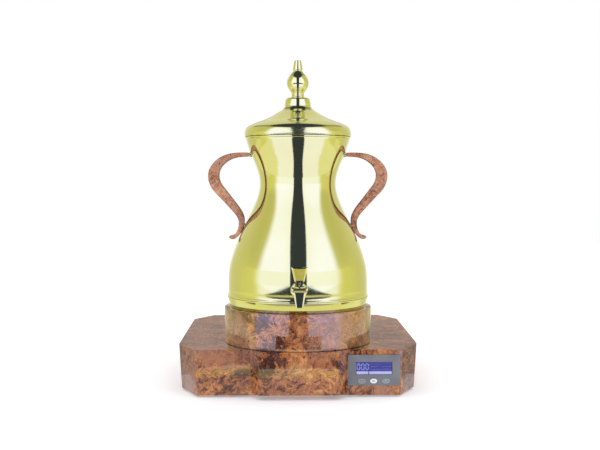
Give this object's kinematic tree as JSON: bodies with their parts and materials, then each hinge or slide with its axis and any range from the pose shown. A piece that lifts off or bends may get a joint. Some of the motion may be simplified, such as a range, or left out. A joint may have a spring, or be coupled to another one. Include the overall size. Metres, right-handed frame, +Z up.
{
  "type": "electric dallah coffee dispenser",
  "caption": "Gold dallah-shaped coffee tank with lift-off lid, tap and two scrolled handles on a burl drum and octagonal base with a display panel.",
  "frame": {"origin": "centre of the overall bounding box in plan, on the floor that the four feet stand on", "axes": "+Z up along the tank's axis; the tap and display face -Y; +X is the side of the display"},
  "size_m": [0.46, 0.5724, 0.6384],
  "materials": {
    "gold": "mirror-polished gold-tone plating",
    "base_burl": "burl veneer under clear gloss lacquer",
    "handle_burl": "burl-patterned, satin lacquer",
    "steel": "stainless, satin",
    "aluminium": "as cast",
    "rubber": "matte black",
    "silicone": "translucent white silicone",
    "insulation": "ceramic-fibre felt",
    "grey_plastic": "fine satin",
    "white_plastic": "gloss",
    "black_plastic": "fine satin",
    "lcd": "lit blue display",
    "glass": "clear",
    "circuit_board": "solder mask"
  },
  "bodies": {
    "root": {"base_housing": "base_burl", "base_bottom_plate": "steel", "foot_front_left": "rubber", "foot_front_right": "rubber", "foot_back_left": "rubber", "foot_back_right": "rubber", "foot_screw_front_left": "steel", "foot_screw_front_right": "steel", "foot_screw_back_left": "steel", "foot_screw_back_right": "steel", "pedestal_drum": "base_burl", "wire_grommet": "rubber", "tank_skirt": "gold", "tie_rod_1": "steel", "tie_rod_2": "steel", "tie_rod_3": "steel", "tank_outer_shell": "gold", "insulation_jacket": "insulation", "tank_liner": "steel", "heater_plate": "aluminium", "heating_element": "steel", "heater_clamp": "steel", "heater_nut": "steel", "temperature_probe": "steel", "thermal_cutout": "black_plastic", "heater_cable": "rubber", "tap_body": "gold", "tap_bonnet": "gold", "tap_shank": "gold", "tap_flange": "gold", "tap_seal": "silicone", "tap_backnut": "steel", "handle_left": "handle_burl", "handle_ferrule_left": "gold", "handle_stud_left": "steel", "handle_right": "handle_burl", "handle_ferrule_right": "gold", "handle_stud_right": "steel", "control_bezel": "grey_plastic", "lcd_window": "glass", "lcd_module": "lcd", "control_board": "circuit_board", "mains_inlet": "black_plastic", "switch_housing": "black_plastic", "power_board": "circuit_board", "transformer": "steel"},
    "lid": {"lid_shell": "gold", "lid_plug": "steel", "lid_gasket": "silicone", "lid_collar": "gold", "lid_finial": "gold", "lid_cap_nut": "steel"},
    "tap_valve": {"tap_stem": "steel", "tap_valve_cup": "silicone", "tap_lever_pin": "steel"},
    "tap_lever": {"tap_lever": "gold"},
    "button_left": {"button_left": "grey_plastic"},
    "button_middle": {"button_middle": "white_plastic"},
    "button_right": {"button_right": "grey_plastic"},
    "power_rocker": {"power_rocker": "black_plastic"}
  },
  "joints": [
    {"name": "lid_lift", "type": "slide", "parent": "root", "child": "lid", "axis": [0, 0, 1], "range_m": [0, 0.12]},
    {"name": "tap_valve_lift", "type": "slide", "parent": "root", "child": "tap_valve", "axis": [0, 0, 1], "range_m": [0, 0.0028]},
    {"name": "tap_lever_tilt", "type": "hinge", "parent": "tap_valve", "child": "tap_lever", "pos_m": [0, -0.27315, 0.2215], "axis": [1, 0, 0], "range_deg": [0, 35], "stiffness_Nm_per_rad": 0.15, "springref_deg": -17.19},
    {"name": "button_left_press", "type": "slide", "parent": "root", "child": "button_left", "axis": [0, 1, 0], "range_m": [0, 0.001], "stiffness_N_per_m": 800, "springref_m": -0.0005},
    {"name": "button_middle_press", "type": "slide", "parent": "root", "child": "button_middle", "axis": [0, 1, 0], "range_m": [0, 0.001], "stiffness_N_per_m": 800, "springref_m": -0.0005},
    {"name": "button_right_press", "type": "slide", "parent": "root", "child": "button_right", "axis": [0, 1, 0], "range_m": [0, 0.001], "stiffness_N_per_m": 800, "springref_m": -0.0005},
    {"name": "power_rocker_tilt", "type": "hinge", "parent": "root", "child": "power_rocker", "pos_m": [0.06, 0.28265, 0.045], "axis": [1, 0, 0], "range_deg": [0, 20]}
  ],
  "couplings": [
    {"joint": "tap_valve_lift", "follows": "tap_lever_tilt", "m_per_rad": 0.00442}
  ]
}
